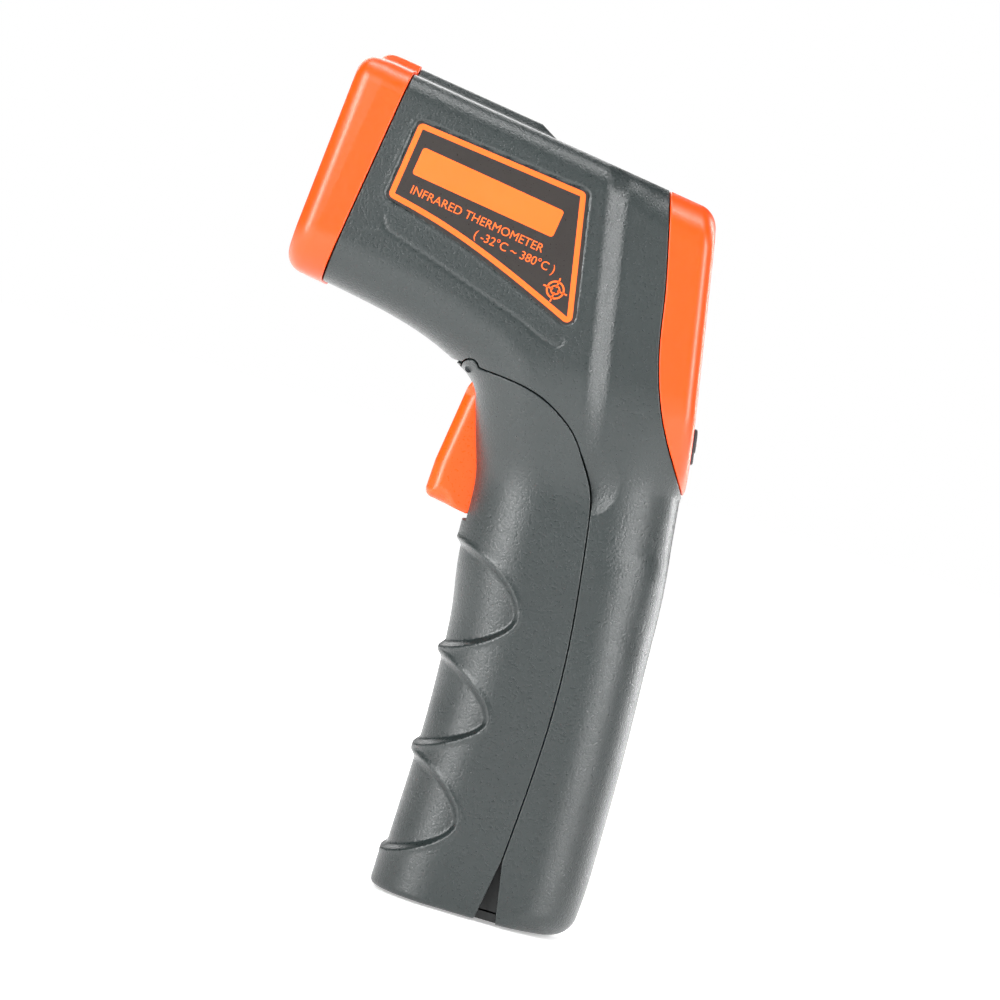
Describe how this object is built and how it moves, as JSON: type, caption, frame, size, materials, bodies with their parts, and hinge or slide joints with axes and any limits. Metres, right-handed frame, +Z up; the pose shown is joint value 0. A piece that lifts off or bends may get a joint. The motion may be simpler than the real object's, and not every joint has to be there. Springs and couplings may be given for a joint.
{
  "type": "infrared thermometer",
  "caption": "Pistol-grip infrared thermometer with a tilted display head, three keys, a trigger and a hinged battery door in the front of its grip.",
  "frame": {"origin": "centre of the grip's flat base face, where it stands on a table", "axes": "+X forward towards the nose, +Y to the user's left, +Z up; the barrel points 8 degrees above +X"},
  "size_m": [0.0925, 0.043, 0.1587],
  "materials": {
    "shell_plastic": "satin, fine spark-eroded grain",
    "orange_plastic": "satin",
    "trigger_plastic": "satin",
    "key_rubber": "matte silicone",
    "key_carbon": "matte",
    "mat_rubber": "matte silicone",
    "window_plastic": "clear acrylic",
    "lcd": "reflective display glass",
    "backlight": "milky light guide",
    "holder_plastic": "matte",
    "zebra": "striped connector rubber",
    "circuit_board": "solder mask",
    "chip": "matte",
    "steel": "plated steel",
    "spring_steel": "drawn wire",
    "black_plastic": "matte black",
    "lens": "milky infrared plastic",
    "filter": "coated silicon",
    "can_metal": "nickel plated",
    "gold_pins": "gold plated",
    "laser_brass": "turned brass",
    "clear_glass": "clear",
    "lead_red": "insulation",
    "lead_black": "insulation",
    "lead_grey": "insulation",
    "battery_jacket": "printed steel jacket",
    "label_film": "printed polycarbonate film"
  },
  "bodies": {
    "case": {"body_left": "shell_plastic", "body_right": "shell_plastic", "front_cap": "orange_plastic", "rear_bezel": "orange_plastic", "door_hinge_pin": "steel", "trigger_pin": "steel", "trigger_spring": "spring_steel", "trigger_board": "circuit_board", "trigger_switch": "black_plastic", "switch_leads": "lead_grey", "keypad_mat": "mat_rubber", "display_window": "window_plastic", "lcd_glass": "lcd", "lcd_backlight": "backlight", "lcd_holder": "holder_plastic", "zebra_strip": "zebra", "main_board": "circuit_board", "board_chips": "chip", "board_screws": "steel", "lens_hood": "black_plastic", "lens_tube": "black_plastic", "fresnel_lens": "lens", "infrared_filter": "filter", "thermopile_can": "can_metal", "thermopile_base": "can_metal", "thermopile_pins": "gold_pins", "sensor_board": "circuit_board", "sensor_screws": "steel", "sensor_leads": "lead_grey", "laser_module": "laser_brass", "laser_lens": "clear_glass", "laser_board": "circuit_board", "laser_window": "clear_glass", "laser_leads": "lead_red", "battery_case": "battery_jacket", "battery_terminals": "can_metal", "battery_clip": "black_plastic", "battery_lead_red": "lead_red", "battery_lead_black": "lead_black", "case_screws": "steel", "left_label": "label_film", "right_label": "label_film"},
    "door": {"battery_door": "shell_plastic"},
    "trigger": {"trigger": "trigger_plastic"},
    "plunger": {"switch_plunger": "mat_rubber"},
    "laser_key": {"laser_button": "key_rubber", "laser_button_pill": "key_carbon"},
    "unit_key": {"unit_button": "key_rubber", "unit_button_pill": "key_carbon"},
    "light_key": {"light_button": "key_rubber", "light_button_pill": "key_carbon"}
  },
  "joints": [
    {"name": "door_hinge", "type": "hinge", "parent": "case", "child": "door", "pos_m": [0.0301, 0, 0.1032], "axis": [0, -1, 0], "range_deg": [0, 75]},
    {"name": "trigger_pull", "type": "hinge", "parent": "case", "child": "trigger", "pos_m": [0.0254, 0, 0.1018], "axis": [0, 1, 0], "range_deg": [0, 7], "stiffness_Nm_per_rad": 0.25, "springref_deg": -5.73, "deforming": ["trigger_spring"]},
    {"name": "switch_press", "type": "slide", "parent": "case", "child": "plunger", "axis": [-1, 0, 0], "range_m": [0, 0.0014]},
    {"name": "laser_key_press", "type": "slide", "parent": "case", "child": "laser_key", "axis": [0.9836, 0, -0.1806], "range_m": [0, 0.0008], "stiffness_N_per_m": 500, "springref_m": -0.0004},
    {"name": "unit_key_press", "type": "slide", "parent": "case", "child": "unit_key", "axis": [0.9836, 0, -0.1806], "range_m": [0, 0.0008], "stiffness_N_per_m": 500, "springref_m": -0.0004},
    {"name": "light_key_press", "type": "slide", "parent": "case", "child": "light_key", "axis": [0.9836, 0, -0.1806], "range_m": [0, 0.0008], "stiffness_N_per_m": 500, "springref_m": -0.0004}
  ],
  "couplings": [
    {"joint": "switch_press", "follows": "trigger_pull", "m_per_rad": 0.0107}
  ]
}
